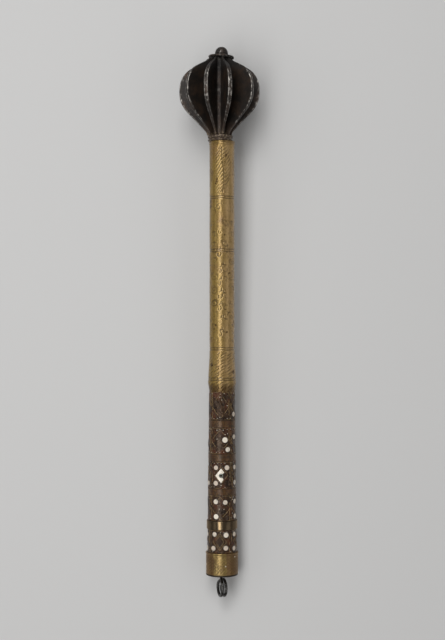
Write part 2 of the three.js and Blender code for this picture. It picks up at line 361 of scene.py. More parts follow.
def makeSteel(look):
    f = Finish(look["name"])
    grain = f.noise(900, 5, 0.65)
    cloud = f.noise(70, 4, 0.6)
    blotch = f.noise(42, 2, 0.5)
    flake = f.noise(1.0, 3, 0.6, f.stretched(430, 270, 430))
    pits = f.noise(2600, 3, 0.7)
    along = f.node("ShaderNodeSeparateXYZ", {}, {"Vector": f.here}, 1)
    foot = f.step(along, *look["footSpan"])
    uneven = (flake - 0.5) * 2.3 + (grain - 0.5) * 0.8 + (blotch - 0.5) * 0.8
    # bright metal where the wear field is high; that field also carries the rims' and knob's painted
    # highlight
    rubbedAndLit = f.step(f.field("wearAndSheen") + uneven * look["speckle"], 0.5, 1.15)
    underDiscShading = f.step(along, *look["underDiscShadeSpan"]) * f.step(along, *look["underDiscShadeEnd"])  # painted shade under the cover disc
    flecks = f.step(along, *look["goldSpan"]) * f.step(grain + (flake - 0.5) * 0.6, 0.54, 0.64)  # gilding
    colour = f.layers(
        look, "dark", ("brown", f.step(cloud, 0.42, 0.7)), ("foot", foot * 0.85), ("underDiscShade", underDiscShading * 0.7),
        ("bright", rubbedAndLit * (1 - foot * 0.6)), ("gold", flecks * 0.7))
    return f.surface({
        "Base Color": colour,
        "Metallic": 0.45 + rubbedAndLit * 0.35 - underDiscShading * 0.3,
        "Roughness": 0.46 - rubbedAndLit * 0.18 + (grain - 0.5) * 0.2 + underDiscShading * 0.3,
        "Normal": f.bump(grain * 0.7 + pits * 0.4 + cloud * 0.6, 0.5, 0.0007),
    })


giltLook = {
    "gold": (0.25, 0.155, 0.030), "pale": (0.31, 0.206, 0.052), "worn": (0.19, 0.108, 0.036),
    "copper": (0.215, 0.118, 0.042), "cut": (0.064, 0.037, 0.010), "stainAndShade": (0.050, 0.021, 0.003),
    # The last colour paints light on the shaft's flank turned to the fill lamp.
    "rubbedAndLit": (0.39, 0.253, 0.112),
}


def makeGilt(look):
    f = Finish("giltCopper")
    patch = f.noise(55, 5, 0.6, distortion=0.6)
    streak = f.noise(1.0, 4, 0.6, f.stretched(300, 45, 300))
    speck = f.noise(420, 4, 0.6)
    chased = f.noise(1.0, 3, 0.65, f.stretched(520, 380, 520), 0.8)
    cut, stainAndShade = f.field("cut"), f.field("stainAndShade")
    worn = f.step(patch + (speck - 0.5) * 0.5, 0.52, 0.72)
    colour = f.layers(
        look, "gold", ("pale", f.step(streak, 0.35, 0.75)), ("worn", worn * 0.75),
        ("copper", f.step(f.noise(38, 3, 0.55), 0.5, 0.68) * 0.4), ("rubbedAndLit", f.field("rubAndShading") * 0.85),
        ("cut", f.step(chased, 0.52, 0.66) * 0.4),  # small worn tool marks
        ("cut", f.step(cut + (speck - 0.5) * 0.3, 0.05, 0.85) * 0.88),
        ("stainAndShade", f.step(stainAndShade + (speck - 0.5) * 0.9, 0.25, 0.85) * 0.8))
    return f.surface({
        "Base Color": colour,
        "Metallic": 0.56 - worn * 0.1 + stainAndShade * 0.1,
        "Roughness": 0.23 + worn * 0.07 + cut * 0.1 + (streak - 0.5) * 0.14,
        "Coat Weight": 0.28 - stainAndShade * 0.2,
        "Coat Roughness": 0.2,
        "Normal": f.bump(streak * 0.4 + speck * 0.6 - chased * 0.7, 0.42, 0.0006),
    })


shellLook = {
    "dark": (0.009, 0.0055, 0.004), "brown": (0.048, 0.024, 0.0105), "red": (0.072, 0.022, 0.009),
    "scuffAndSheen": (0.24, 0.19, 0.145), "cementAndGapShade": (0.012, 0.008, 0.006),
}


def makeShell(look):
    f = Finish("darkShell")
    mottle = f.noise(230, 6, 0.68, distortion=0.9)
    warm = f.noise(110, 4, 0.6, f.stretched(1, 0.7, 1))
    grain = f.noise(1.0, 4, 0.6, f.stretched(900, 160, 900))
    speck = f.noise(520, 4, 0.65)
    cementAndGapShade = f.field("cementAndGapShade")
    colour = f.layers(
        look, "dark", ("brown", f.step(mottle, 0.38, 0.64)), ("red", f.step(warm, 0.48, 0.66) * 0.75),
        # the scuff colour is laid as a painted highlight streak where the grip carries it, and as small
        # specks
        ("scuffAndSheen", f.field("rubAndShading") * f.step(mottle + speck, 0.8, 1.15) * 0.3), ("cementAndGapShade", cementAndGapShade * 0.9),
        ("scuffAndSheen", f.step(speck, 0.6, 0.69) * (1 - cementAndGapShade) * 0.75))
    return f.surface({
        "Base Color": colour,
        "Roughness": 0.26 + (grain - 0.5) * 0.25 + cementAndGapShade * 0.25,
        "Specular IOR Level": 0.3,
        "Specular Tint": (1.0, 0.8, 0.66, 1),
        "Normal": f.bump(mottle * 0.8 + grain * 0.4 + speck * 0.7, 0.6, 0.0009),
    })


# The cap's brass, then the raised band, the tarnished bands, the pale pins and the laid lines beside it.
brassLook = {
    "name": "agedBrass", "brass": (0.26, 0.182, 0.062), "pale": (0.39, 0.30, 0.125),
    "brown": (0.105, 0.062, 0.022), "ruddyAndShade": (0.105, 0.050, 0.023), "cut": (0.026, 0.015, 0.006),
    "paintedEdgeShade": (0.006, 0.004, 0.003), "metal": 0.66, "rough": 0.22, "coat": 0.15, "patches": 90,
    "dulled": (0.42, 0.72), "pitted": 0.3, "lines": 1500,
}
bandLook = dict(
    brassLook, name="bandBrass", brass=(0.23, 0.165, 0.088), pale=(0.36, 0.275, 0.165),
    brown=(0.06, 0.038, 0.02), ruddyAndShade=(0.020, 0.013, 0.006), cut=(0.03, 0.02, 0.01),
    metal=0.84, rough=0.15, coat=0.3, patches=110, pitted=0.4)
tarnishLook = dict(
    brassLook, name="tarnishedBrass", brass=(0.068, 0.032, 0.011), pale=(0.11, 0.057, 0.020),
    brown=(0.012, 0.006, 0.003), ruddyAndShade=(0.05, 0.018, 0.008), cut=(0.01, 0.006, 0.004),
    metal=0.2, rough=0.3, patches=330, dulled=(0.46, 0.57), pitted=4.0, lines=430)
pinLook = dict(
    brassLook, name="palePin", brass=(0.52, 0.47, 0.39), pale=(0.72, 0.67, 0.59),
    brown=(0.30, 0.25, 0.19), ruddyAndShade=(0.3, 0.2, 0.14), cut=(0.10, 0.08, 0.06),
    metal=0.35, rough=0.3, patches=260)
lineLook = dict(
    brassLook, name="brassLine", brass=(0.20, 0.135, 0.062), pale=(0.36, 0.26, 0.13),
    brown=(0.055, 0.034, 0.018), ruddyAndShade=(0.06, 0.03, 0.016), cut=(0.02, 0.013, 0.008),
    metal=0.6, rough=0.34, patches=300, pitted=0.5)


def makeBrass(look):
    f = Finish(look["name"])
    cloud = f.noise(look["patches"], 5, 0.62, distortion=0.5)
    speck = f.noise(520, 4, 0.62)
    hair = f.noise(1.0, 3, 0.6, f.stretched(160, look["lines"], 160))
    cut, paintedEdgeShade = f.field("cut"), f.field("paintedEdgeShade")
    dull = f.step(cloud + (speck - 0.5) * 0.4, *look["dulled"])
    colour = f.layers(
        look, "brass", ("pale", f.step(hair, 0.4, 0.8) * 0.6), ("brown", dull * 0.85),
        # the ruddy colour laid by this mask is painted shade on the cap and the raised band, and real tarnish
        # on the flush bands
        ("ruddyAndShade", f.step(f.field("rubAndShading") + (speck - 0.5) * 0.6, 0.2, 0.9) * 0.7),
        ("cut", f.step(cut, 0.2, 0.9) * 0.9), ("cut", f.step(speck, 0.68, 0.76) * 0.5), ("paintedEdgeShade", paintedEdgeShade))
    return f.surface({
        "Base Color": colour,
        "Metallic": look["metal"] - dull * 0.1 - cut * 0.25 - paintedEdgeShade * 0.4,
        "Roughness": look["rough"] + dull * 0.08 + (hair - 0.5) * 0.14 + cut * 0.25 + paintedEdgeShade * 0.3,
        "Coat Weight": look["coat"] * (1 - paintedEdgeShade),
        "Coat Roughness": 0.22,
        "Coat Tint": (1.0, 0.86, 0.7, 1),
        "Specular Tint": (1.0, 0.84, 0.64, 1),
        "Normal": f.bump(hair * 0.4 + speck * 0.6 + cloud * look["pitted"], 0.2, 0.0006),
    })


pearlLook = {
    "white": (0.76, 0.69, 0.58), "cream": (0.54, 0.46, 0.35), "rose": (0.56, 0.45, 0.38),
    "grey": (0.30, 0.285, 0.24), "rim": (0.05, 0.036, 0.026),
}


def makePearl(look):
    f = Finish("motherOfPearl")
    sheen = f.noise(330, 3, 0.5, distortion=1.6)
    cloud = f.noise(240, 3, 0.55)
    tone = f.field("tone")
    colour = f.layers(
        look, "cream", ("rose", f.step(sheen, 0.38, 0.68)),
        ("white", f.step(tone + (sheen - 0.5) * 0.8, 0.35, 0.8)),
        ("grey", f.step(cloud - tone * 0.12, 0.46, 0.7) * 0.75),
        ("rim", f.step(f.field("rim"), 0.2, 0.8) * 0.9))
    return f.surface({
        "Base Color": colour,
        "Roughness": 0.24 + (sheen - 0.5) * 0.15,
        "Specular IOR Level": 0.55,
        "Coat Weight": 0.3,
        "Coat Roughness": 0.12,
        "Normal": f.bump(sheen * 0.5 + cloud * 0.5, 0.2, 0.0004),
    })


ironLook = {
    "name": "darkIron", "dark": (0.022, 0.021, 0.019), "grey": (0.11, 0.107, 0.10), "metal": 0.85,
}
washerLook = {
    "name": "greyWasher", "dark": (0.10, 0.11, 0.09), "grey": (0.24, 0.255, 0.215), "metal": 0.25,
}


def makeIron(look):
    f = Finish(look["name"])
    grain = f.noise(750, 5, 0.65)
    cloud = f.noise(190, 3, 0.6)
    return f.surface({
        "Base Color": f.layers(look, "dark", ("grey", f.step(cloud + (grain - 0.5) * 0.5, 0.4, 0.7))),
        "Metallic": look["metal"],
        "Roughness": 0.27 + (grain - 0.5) * 0.2,
        "Normal": f.bump(grain, 0.3, 0.0005),
    })


steel, tubeSteel = makeSteel(steelLook), makeSteel(tubeLook)
gilt, shell, pearl = makeGilt(giltLook), makeShell(shellLook), makePearl(pearlLook)
iron, washerGrey = makeIron(ironLook), makeIron(washerLook)
brass, bandBrass, tarnish, palePin, brassLine = (
    makeBrass(look) for look in (brassLook, bandLook, tarnishLook, pinLook, lineLook))
print("finishes: made")

# Head flanges: one wedge plate, repeated about the core by its tree. Wear runs by station along the rim, with
# painted highlight where the rim faces the lamps and painted shade near the top.
flangePlan = {
    "count": 10, "lean": [0.4, 4.5, 0, 0, 0, 0, 0, 0, 3.2, 1.6], "shift": -3.0, "uneven": 0.42,
    "root": 9.15, "rootThick": 2.0, "rimThick": 4.7, "widest": 46.7, "core": 9.3, "edge": 0.95, "crown": 0.16,
    "stations": 120, "seed": 4.0, "forged": 95.0,
    "foot": [(14.4, 510.6), (14.8, 512.4)],
    "rim": [
        (15.6, 514.2), (17.8, 516.7), (24.4, 523.7), (31.2, 530.7), (37.9, 537.6), (41.5, 542.3),
        (44.0, 546.9), (45.8, 551.6), (46.55, 556.2), (46.7, 562.0), (46.4, 567.9), (45.3, 572.5),
        (43.4, 577.2), (41.3, 580.5), (38.2, 584.1), (34.3, 587.1), (30.1, 589.6), (25.8, 591.8),
        (20.8, 594.3), (17.0, 596.5), (14.4, 599.1),
    ],
    "web": [0, 0.22, 0.45, 0.65, 0.8, 0.9, 0.965, 1.0],  # share of the way from root to rim, and its wear
    "webWear": [0, 0, 0.02, 0.05, 0.1, 0.16, 0.3, 0.66],
    "rimWear": [0.8, 0.95, 0.9, 0.7, 0.56, 0.52, 0.56, 0.7, 0.9, 0.95, 0.8],
    "glow": [
        (520, 0.75), (536, 0.62), (546, 0.8), (554, 1.0), (578, 1.0), (586, 0.4), (591, 0.16), (597, 0.1),
    ],
    "edgeGlow": [(520, 1.3), (550, 1.3), (560, 1.0), (580, 0.9), (590, 0.2)],
}


def makeFlangeMesh(plan):
    rim = np.vstack([dense(plan["foot"], 0.7), smoothLine(plan["rim"], plan["stations"])])
    half = lambda r: 0.5 * (plan["rootThick"] + (plan["rimThick"] - plan["rootThick"])
                            * (r - plan["core"]) / (plan["widest"] - plan["core"]))
    web, webWear, rimWear = (np.array(plan[key]) for key in ("web", "webWear", "rimWear"))
    arc = np.radians([70, 45, 20])
    points, wearAndSheen = [], []
    for reach, station in rim:
        edge = min(plan["edge"], 0.6 * half(reach))
        flat = half(reach) - edge
        outer = np.stack([flat + edge * np.sin(arc), -plan["crown"] - edge * (1 - np.cos(arc))], 1)
        inner = np.array([(flat, -plan["crown"]), (0.55 * flat, -0.3 * plan["crown"])])
        side = np.vstack([outer, inner])
        sweep = np.vstack([side * [-1, 1], [[0, 0]], side[::-1]])
        r = plan["root"] + (reach - edge - plan["root"]) * web
        left = np.stack([-half(r), np.full(len(r), station), r], 1)
        over = np.stack([sweep[:, 0], np.full(len(sweep), station), reach + sweep[:, 1]], 1)
        points.append(np.vstack([left, over, left[::-1] * [-1, 1, 1]]))
        share = np.clip((reach - 12) / 12, 0.35, 1)
        # the glow spans raise the bright wear mid-way up as painted highlight and lower it near the top as
        # painted shade
        rimShare, webShare = (share * np.interp(station, *zip(*plan[key])) for key in ("glow", "edgeGlow"))
        wearAndSheen.append(np.concatenate([webWear * webShare, rimWear * rimShare, webWear[::-1] * webShare]))
    rows, ring = len(points), len(points[0])
    caps = [list(range(ring)), list(range((rows - 1) * ring, rows * ring))]
    faces = [ringQuads(rows, ring, False), caps]
    return turnOut(makeMesh("flange", np.vstack(points), faces, {"wearAndSheen": np.concatenate(wearAndSheen)}))


def makeFlangeTree(plan):
    tree = PieceTree("flangesAboutCore", {
        "Form": "Object", "Uneven": "Float", "Seed": "Float", "Finish": "Material"})
    spin = tree.node("ShaderNodeCombineXYZ", {}, {"Y": tree.named("turn")})
    ring = tree.node("GeometryNodeInstanceOnPoints", {}, {
        "Points": tree.input("Geometry"), "Instance": tree.form(), "Rotation": spin})
    whole = tree.node("GeometryNodeRealizeInstances", {}, {"Geometry": ring})
    tree.close(tree.roughen(whole, plan["forged"]))
    return tree


def makeFlanges(plan):
    form = newObject("flangeForm", makeFlangeMesh(plan))
    turns = bpy.data.meshes.new("flangeTurns")  # a point on the axis for each flange, with its turn
    turns.from_pydata([(0, 0, 0)] * plan["count"], [], [])
    angles = [(n + 0.5) * 360 / plan["count"] + lean for n, lean in enumerate(plan["lean"])]
    addField(turns, "turn", np.radians(angles))
    flanges = makeFlangeTree(plan).grow("flanges", turns, {
        "Form": form, "Uneven": plan["uneven"] / 1000, "Seed": plan["seed"], "Finish": steel})
    bpy.data.objects.remove(form)
    flanges.data.transform(Matrix.Translation((plan["shift"] / 1000, 0, 0)))
    seatPiece(flanges, "blackened_steel", *["flange_%02d" % (n + 1) for n in range(plan["count"])])


makeFlanges(flangePlan)
print("flanges: repeated about the core")

# Core, collar, cover disc and knob, all turned. Collar and cover profiles are radius and height.
headPlan = {
    "shift": -3.0, "slimAround": 72, "wideAround": 110,
    "core": [(0, 510.0), (9.3, 510.0), (9.3, 599.9), (0, 599.9)],
    "collarStart": 503.3, "collarShift": 0.7,
    "collar": [
        (0, 0), (13.1, 0), (13.7, 0.35), (13.9, 0.9), (13.8, 1.5), (13.3, 1.9), (13.2, 2.5), (13.5, 3.2),
        (14.2, 3.6), (14.5, 4.3), (14.6, 5.3), (14.3, 6.2), (13.2, 7.0), (11.0, 7.6), (0, 7.6),
    ],
    "coverStation": 600.3, "coverShift": -0.9, "coverTilt": 3.2,
    "discTop": [(13.0, 2.1), (12.1, 1.75), (10.5, 1.62), (8.0, 1.75), (0, 1.8)],
    "knobFoot": [(0, 1.7), (7.4, 1.7), (7.9, 2.3), (8.0, 3.0), (7.7, 3.6), (7.2, 3.95), (7.25, 4.3)],
    "knobTop": (0, 12.8),
}


def makeHead(plan):
    rough = waves(5, 9, 0.2)
    core = turnedMesh("headCore", dense(plan["core"], 1.6), plan["slimAround"],
                      lambda t, s: 0.07 * rough(t, s),
                      {"wearAndSheen": lambda t, s: 0.54 + 0.05 * rough(t, s)}, plan["shift"])
    addPiece("headCore", core, tubeSteel, "blackened_steel", "head_core")

    lump, fine = waves(8, 14, 0.5), waves(9, 16, 1.1)
    collarProfile = dense([(r, plan["collarStart"] + s) for r, s in plan["collar"]], 0.5)
    collar = turnedMesh("neckCollar", collarProfile, plan["wideAround"],
                        lambda t, s: 0.22 * lump(t, s) + 0.2 * fine(3 * t, s),
                        {"wearAndSheen": lambda t, s: 0.06 + 0.4 * np.abs(fine(2 * t, s))},
                        plan["shift"] * plan["collarShift"])
    addPiece("neckCollar", collar, steel, "blackened_steel", "neck_collar")

    dent = waves(12, 7, 0.05)
    lip = [(14.0 + 1.05 * math.sin(a), 1.12 - 1.1 * math.cos(a)) for a in np.linspace(0, math.pi, 12)]
    disc = turnedMesh("topDisc", dense([(0, 0)] + lip + plan["discTop"], 0.6), plan["wideAround"],
                      lambda t, s: 0.16 * dent(t, s),
                      {"wearAndSheen": lambda t, s: 0.42 + 0.3 * dent(2 * t, s) * (s > 0.2)})
    dome = [(7.65 * math.cos(a) ** 0.82, 4.6 + 8.2 * math.sin(a)) for a in np.linspace(0.05, 1.45, 14)]
    # shine paints a highlight along one side of the knob through its bright worn tone
    shine = lambda t: unit(np.cos(t + 0.12)) ** 6
    knobProfile = dense(plan["knobFoot"] + dome + [plan["knobTop"]], 0.5)
    knob = turnedMesh("finialKnob", knobProfile, plan["slimAround"],
                      lambda t, s: 0.07 * dent(t, s),
                      {"wearAndSheen": lambda t, s: 0.12 + 0.22 * shine(t) + 0.1 * dent(t, 3 * s)})
    lean = (Matrix.Translation((plan["coverShift"] / 1000, plan["coverStation"] / 1000, 0))
            @ Matrix.Rotation(math.radians(-plan["coverTilt"]), 4, "Z"))
    for mesh, name, node in ((disc, "topDisc", "top_disc"), (knob, "finialKnob", "finial_knob")):
        mesh.transform(lean)
        addPiece(name, mesh, steel, "blackened_steel", node)


makeHead(headPlan)
print("head: core, collar, disc and knob turned")


# Engraving: strokes in millimetres round and along, each with a half width and a strength.
def spiral(u, v, size, turns, start, hand):  # a curl winding in
    t = np.linspace(0, 1, 26)
    reach = size * (1 - 0.84 * t)
    angle = start + hand * turns * fullTurn * t
    return np.stack([u + reach * np.cos(angle), v + reach * np.sin(angle)], 1)


def flick(u, v, heading, length, bend, steps=6):  # a short bent stroke
    angle = heading + bend * np.linspace(0, 1, steps + 1)[:-1]
    du = np.concatenate([[0], np.cumsum(np.cos(angle) * length / steps)])
    dv = np.concatenate([[0], np.cumsum(np.sin(angle) * length / steps)])
    return np.stack([u + du, v + dv], 1)


def leafSpray(u, v, heading, length, count, spread):  # a fan of strokes
    fan = np.linspace(-spread, spread, count)
    return [flick(u, v, heading + a, length * (1 - 0.4 * abs(a) / spread), 0.9 * a / spread) for a in fan]


def cutAs(width, strength, *lines):  # lines cut with one tool
    return [(line, width, strength) for line in lines]


def cutDepth(strokes, angles, stations, radius):  # deepest cut at each point
    depth = np.zeros((len(stations), len(angles)))
    girth = fullTurn * radius
    for points, width, strength in strokes:
        (uLow, vLow), (uHigh, vHigh) = points.min(0) - width, points.max(0) + width
        around = (angles * radius - points[0, 0] + girth / 2) % girth - girth / 2 + points[0, 0]
        rows = np.where((stations >= vLow) & (stations <= vHigh))[0]
        cols = np.where((around >= uLow) & (around <= uHigh))[0]
        if not len(rows) or not len(cols):
            continue
        u, v = around[cols][None], stations[rows][:, None]
        nearest = np.full((len(rows), len(cols)), 1e9)
        for (au, av), (bu, bv) in zip(points[:-1], points[1:]):
            length = (bu - au) ** 2 + (bv - av) ** 2 + 1e-12
            t = unit(((u - au) * (bu - au) + (v - av) * (bv - av)) / length)
            nearest = np.minimum(nearest, np.hypot(u - au - t * (bu - au), v - av - t * (bv - av)))
        grid = np.ix_(rows, cols)
        depth[grid] = np.maximum(depth[grid], strength * unit(1 - nearest / width))
    return depth


# Shaft: three engraved panels above a flare. Stains are station, angle and size.
shaftPlan = {
    "seed": 17, "radius": 14.5, "start": 213.3, "end": 503.2, "mouth": 16.3, "spacing": 0.56, "around": 164,
    "cutDepth": 0.46, "lines": [376.3, 437.4, 262.5, 227.6], "lineGap": 1.2,
    "beads": [499.9, 502.2], "beadRise": 0.6, "beadHalf": 0.95, "panelAngle": 8.0, "paintedLightAngle": 52.0,
    "lipTop": 221.0, "lipDrop": 3.6, "lipAngle": 42.0, "dent": 0.07, "grooveHalf": 0.75, "grooveCut": 0.9,
    "spine": (443, 495), "barbs": (446, 500, 4.4), "barbReach": 10.8, "endReach": 6.0, "barbSlant": 0.8,
    "curls": [(426, -5.5, 1), (409, 3.0, -1), (397, -3.2, 1), (385, 2.6, -1)], "sprigs": [386, 398, 410],
    "scrollRows": (277, 371, 15.5), "roseRadius": 3.3, "flareRows": (216.5, 259, 3.6),
    "neckShade": (0.55, 492, 9), "mouthGrime": (0.8, 229, -11),  # strength, start and run
    "stains": [
        (458, -20, 1.9), (455.6, -23, 2.0), (453.2, -27, 1.6), (486.5, 22, 1.5), (484.8, 20.5, 1.3),
        (408, 10, 1.0), (394, 15, 1.2), (290, -27, 1.6), (282, 26, 1.5), (433, -66, 3.4), (427, -64, 3.0),
        (350, 40, 1.2), (318, 120, 4.0), (402, 150, 4.5), (470, -130, 4.0), (300, -150, 5.0),
        (236, 60, 3.0), (244, -50, 3.0), (230, 170, 4.0), (215, 34, 5.0), (217, 12, 3.5),
    ],
}


def featherStrokes(plan, middle):  # upper panel: a feather with its tip towards the grip
    bow = lambda v: middle + 1.3 * math.sin((v - plan["barbs"][0]) / 9)
    strokes = cutAs(0.95, 0.9, np.array([(bow(v), v) for v in np.linspace(*plan["spine"], 30)]))
    for v in np.arange(*plan["barbs"]):
        inside = plan["spine"][0] + 5 < v < plan["spine"][1] + 1
        for hand in (-1, 1):
            heading = hand * math.pi / 2 - plan["barbSlant"]  # both rows of barbs slant the same way
            reach = plan["barbReach"] if inside else plan["endReach"]
            strokes += cutAs(1.0, 0.74, flick(bow(v) + 1.3 * hand, v + 0.9 * hand, heading, reach, 0.2))
    return strokes


def leafStrokes(plan, middle, quarter):  # middle panel: curls with leaves, and sprigs between the panels
    strokes = []
    for v, across, hand in plan["curls"]:
        u = middle + across
        strokes += cutAs(0.9, 0.7, spiral(u, v, 4.4, 0.95, 0.6 * hand, hand))
        strokes += cutAs(0.85, 0.66, *leafSpray(u + 3.8 * hand, v + 2.5, 0.5 * hand, 5, 3, 0.8))
        strokes += cutAs(0.85, 0.66, *leafSpray(u - 3.8 * hand, v - 3.5, 3.4, 5, 3, 0.8))
    for v in plan["sprigs"]:
        strokes += cutAs(0.85, 0.85, *leafSpray(middle + quarter / 2, v, -1.57, 5.5, 3, 0.9))
    return strokes


def scrollStrokes(plan, middle, quarter, dice):  # lower panel: paired scrolls and small roses, no two alike
    strokes = []
    for row in np.arange(*plan["scrollRows"]):
        for hand in (-1, 1):
            v, size = row + dice.uniform(-3, 3), dice.uniform(3.2, 5.2)
            turns, bite = dice.uniform(0.5, 0.95), dice.uniform(0.5, 1)
            u = middle + hand * dice.uniform(3.4, 6.2)
            strokes += cutAs(0.95, bite, spiral(u, v, size, turns, dice.uniform(0.4, 2.6), hand))
            upper = leafSpray(u - hand * 3.6, v + 5.4, 1.57 - hand * 0.9, size + 1, 2, 0.5)
            lower = leafSpray(u + hand * 3, v - 4, -1.57 + hand * 0.7, size + 1, 2, 0.5)
            strokes += cutAs(0.9, 1.0, *upper) + cutAs(0.9, bite, *lower)
        u, v = middle + quarter / 2, row + 7 + dice.uniform(-2, 2)
        ring = np.linspace(0, dice.uniform(3.6, 6.2), 22) + dice.uniform(0, 3)
        rose = np.stack([u + plan["roseRadius"] * np.cos(ring), v + plan["roseRadius"] * np.sin(ring)], 1)
        strokes += cutAs(0.8, dice.uniform(0.5, 0.95), rose)
        strokes += cutAs(0.9, 0.9, flick(u - 1.2, v, dice.uniform(-0.6, 0.6), 2.4, 0))
    return strokes


def flareStrokes(plan, middle, quarter):  # slanting strokes over the flare
    strokes = []
    for n, v in enumerate(np.arange(*plan["flareRows"])):
        for m in (-1, 0, 1):
            u = middle + m * quarter / 3 + 0.9 * (n % 2)
            strokes += cutAs(0.85, 0.9, flick(u - 2.8, v - 1.5, 0.5, 6.2, 0.25))
    return strokes


def shaftStrokes(plan):
    dice = np.random.default_rng(plan["seed"])
    quarter = fullTurn * plan["radius"] / 4
    strokes = []
    for k in range(4):
        middle = math.radians(plan["panelAngle"]) * plan["radius"] + k * quarter
        strokes += featherStrokes(plan, middle) + leafStrokes(plan, middle, quarter)
        strokes += scrollStrokes(plan, middle, quarter, dice) + flareStrokes(plan, middle, quarter)
    return strokes


def makeShaft(plan):
    r0, mouth = plan["radius"], plan["mouth"]
    corners = [(14.75, plan["start"]), (mouth - 0.25, 221.6), (mouth, 223), (mouth - 0.1, 226),
               (mouth - 0.75, 238), (r0 + 0.3, 252), (r0, 266), (r0, plan["end"])]
    stations = np.arange(plan["start"], plan["end"] + 0.01, plan["spacing"])
    angles = ringAngles(plan["around"])
    turn, run = np.meshgrid(angles, stations)
    radius = np.interp(stations, [c[1] for c in corners], [c[0] for c in corners])
    for bead in plan["beads"]:
        radius += plan["beadRise"] * unit(1 - ((stations - bead) / plan["beadHalf"]) ** 2)

    worn, dents = waves(21, 12, 0.05), waves(22, 10, 0.035)
    cuts = cutDepth(shaftStrokes(plan), angles, stations, r0)
    cuts *= np.clip(0.85 + 0.3 * worn(turn, run), 0.35, 1.1)  # rubbed shallow in places
    for line in plan["lines"]:
        for side in (-plan["lineGap"], plan["lineGap"]):
            groove = plan["grooveCut"] * unit(1.4 - 1.4 * np.abs(stations - line - side) / plan["grooveHalf"])
            cuts = np.maximum(cuts, groove[:, None])
    stainAndShade = np.zeros_like(cuts)
    for place, centre, size in plan["stains"]:
        reach = np.hypot(np.radians(apart(turn, centre)) * r0, run - place)
        stainAndShade = np.maximum(stainAndShade, unit(1.3 - reach / size))
    # the neck darkens under the head as painted shade; the mouth darkens towards its end
    for strength, start, length in (plan["neckShade"], plan["mouthGrime"]):
        stainAndShade = np.maximum(stainAndShade, strength * unit((run - start) / length))
    # painted light: the flank turned towards the fill lamp is paled
    facing = unit(np.cos(turn - math.radians(plan["paintedLightAngle"])))
    rubAndShading = facing ** 2 * unit(0.85 + 0.25 * worn(turn + 2, run))

    profile = np.vstack([[[0, stations[0]]], np.stack([radius, stations], 1), [[0, stations[-1]]]])
    mesh = turnedMesh("giltShaft", profile, plan["around"],
                      lambda t, s: plan["dent"] * dents(t, s) - plan["cutDepth"] * cuts,
                      {"cut": lambda t, s: cuts, "stainAndShade": lambda t, s: stainAndShade, "rubAndShading": lambda t, s: rubAndShading})

    def drawLip(spots):  # the mouth's edge is drawn down unevenly over the grip
        spots = spots * 1000
        side, reach = np.arctan2(spots[:, 0], spots[:, 2]), np.hypot(spots[:, 0], spots[:, 2])
        drawn = unit((plan["lipTop"] - spots[:, 1]) / (plan["lipTop"] - plan["start"])) * (reach > 1)
        uneven = 0.6 * np.cos(side - math.radians(plan["lipAngle"])) + 0.16 * np.sin(5 * side)
        spots[:, 1] -= plan["lipDrop"] * drawn * unit(0.5 + uneven)
        return spots / 1000

    movePoints(mesh, drawLip)
    addPiece("giltShaft", mesh, gilt, "gilt_copper", "gilt_shaft")


makeShaft(shaftPlan)
print("shaft: engraved and flared")

# Grip: tapered dark veneer with sunk channels and the sockets whose discs are lost.
gripPlan = {
    "start": 25.3, "end": 213.1, "cap": 27.0, "top": 213.0, "buttRadius": 17.0, "topRadius": 14.9,
    "spacing": 0.52, "around": 196, "bands": [(54, 64), (94, 101), (133, 141), (172, 180)], "bandInset": 1.2,
    "panelAngles": [-6.4, -4.0, -0.7, -5.0, -4.2], "diamond": (41.2, 5.3, 7.8),
    "emptySockets": [(205.2, 17.6), (191.4, 18.8), (108.0, 21.5), (69.2, 17.1)],
    "socketRadius": 3.2, "socketDepth": 0.9, "rubbedAndLit": [(66, 92), (143, 170)], "paintedLightAngle": -9,
    "rise": 0.2, "bedMargin": 0.2, "bedFade": 1.6, "cement": 0.95,
}

# Pearl discs as station, angle, radius and tone, and the broken lozenge with its pocket.
pearlPlan = {
    "sink": 0.25, "around": 36,
    "discs": [
        (187.0, 63, 3.0, 0.3), (157.7, 15.5, 3.4, 1.0), (146.6, 27.6, 3.0, 0.6), (160.8, 64, 3.0, 0.2),
        (125.7, -22.8, 2.85, 0.1), (125.8, 23.8, 3.1, 0.45), (125.8, 66.4, 3.0, 0.4),
        (107.9, -23.2, 3.05, 0.35), (108.2, 66.4, 3.0, 0.5), (107.4, -66.6, 2.9, 0.3),
        (86.6, -22.6, 3.05, 0.6), (85.9, 16.0, 2.9, 0.5), (86.4, 64.4, 3.0, 0.4), (69.5, -21.2, 3.15, 0.85),
        (69.3, 65.2, 3.0, 0.5), (49.0, -27.6, 2.9, 0.5), (48.4, 18.9, 3.2, 0.6), (48.6, 59.2, 3.0, 0.4),
        (32.8, -32.4, 3.1, 0.15), (33.4, 18.0, 3.0, 0.35), (32.4, 57, 3.0, 0.3), (48.0, -73.6, 2.9, 0.4),
        (32.2, -73.4, 2.9, 0.3), (48.6, 110, 3.0, 0.5), (32.6, 110, 3.0, 0.3), (48.6, -118, 3.0, 0.6),
        (32.6, -118, 3.0, 0.4), (32.6, 152, 3.0, 0.2), (32.6, -160, 3.0, 0.5), (86.2, 112, 3.0, 0.4),
        (69.4, 112, 3.0, 0.6), (86.2, -116, 3.0, 0.3), (125.8, 114, 3.0, 0.5), (125.8, -114, 3.0, 0.4),
        (108.0, -160, 3.0, 0.3),
    ],
}
